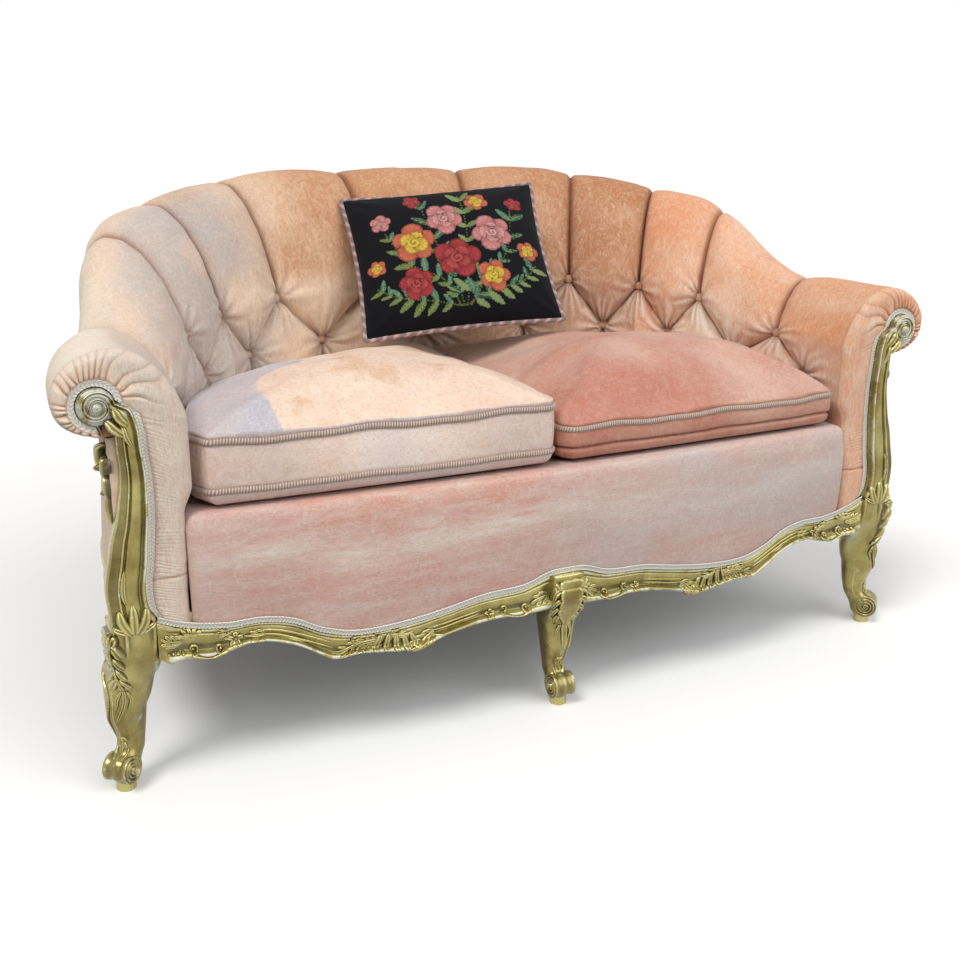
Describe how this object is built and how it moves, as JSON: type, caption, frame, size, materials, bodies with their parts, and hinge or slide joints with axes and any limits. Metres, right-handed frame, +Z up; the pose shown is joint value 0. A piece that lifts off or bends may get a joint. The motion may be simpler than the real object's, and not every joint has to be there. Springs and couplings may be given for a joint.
{
  "type": "cabriole sofa",
  "caption": "Tub-backed sofa with a channelled and tufted velvet back, loose seat cushions, a throw pillow and a carved gilt show frame on cabriole legs.",
  "frame": {"origin": "centre of the bounding box at floor level, under the foot pads", "axes": "+X along the length, towards the right arm seen from the front; the front faces -Y; +Z up"},
  "size_m": [1.4796, 0.7902, 0.8388],
  "materials": {
    "gilt": "satin",
    "beech": "matt",
    "velvet": "matt",
    "faded_velvet": "matt",
    "braid": "matt",
    "needlework": "matt",
    "canvas": "matt",
    "lining": "matt",
    "spring_steel": "satin"
  },
  "bodies": {
    "root": {"front_leg_left": "gilt", "front_leg_right": "gilt", "centre_front_leg": "gilt", "rear_leg_left": "gilt", "rear_leg_right": "gilt", "centre_rear_leg": "gilt", "foot_pads": "gilt", "arm_post_left": "gilt", "arm_post_right": "gilt", "front_rail_left": "gilt", "front_rail_right": "gilt", "side_rail_left": "gilt", "side_rail_right": "gilt", "back_rail": "gilt", "rear_post_left": "gilt", "rear_post_right": "gilt", "arm_stumps": "beech", "back_uprights": "beech", "arm_board_left": "beech", "arm_board_right": "beech", "top_rail": "beech", "tacking_rail": "beech", "seat_stretcher": "beech", "corner_blocks": "beech", "joint_dowels": "beech", "long_webbing": "canvas", "cross_webbing": "canvas", "seat_springs": "spring_steel", "spring_canvas": "canvas", "seat_platform": "velvet", "seat_border": "velvet", "inside_arm_left": "velvet", "inside_arm_right": "velvet", "inside_back": "velvet", "arm_front_left": "velvet", "arm_front_right": "velvet", "tuft_buttons": "velvet", "outside_arm_left": "velvet", "outside_arm_right": "velvet", "outside_back": "velvet", "dust_cover": "lining", "post_gimp_left": "braid", "post_gimp_right": "braid", "border_gimp": "braid"},
    "seat_cushion_left": {"seat_cushion_left": "faded_velvet", "cushion_rope_left": "braid"},
    "seat_cushion_right": {"seat_cushion_right": "velvet", "cushion_rope_right": "braid"},
    "throw_pillow": {"throw_pillow": "needlework", "pillow_cord": "braid"}
  },
  "joints": [
    {"name": "left_cushion_slide", "type": "slide", "parent": "root", "child": "seat_cushion_left", "axis": [0, -0.9976, 0.0698], "range_m": [0, 0.62]},
    {"name": "right_cushion_slide", "type": "slide", "parent": "root", "child": "seat_cushion_right", "axis": [0, -0.9976, 0.0698], "range_m": [0, 0.62]},
    {"name": "pillow_lift", "type": "slide", "parent": "root", "child": "throw_pillow", "axis": [0, -0.5, 0.866], "range_m": [0, 0.4]}
  ]
}
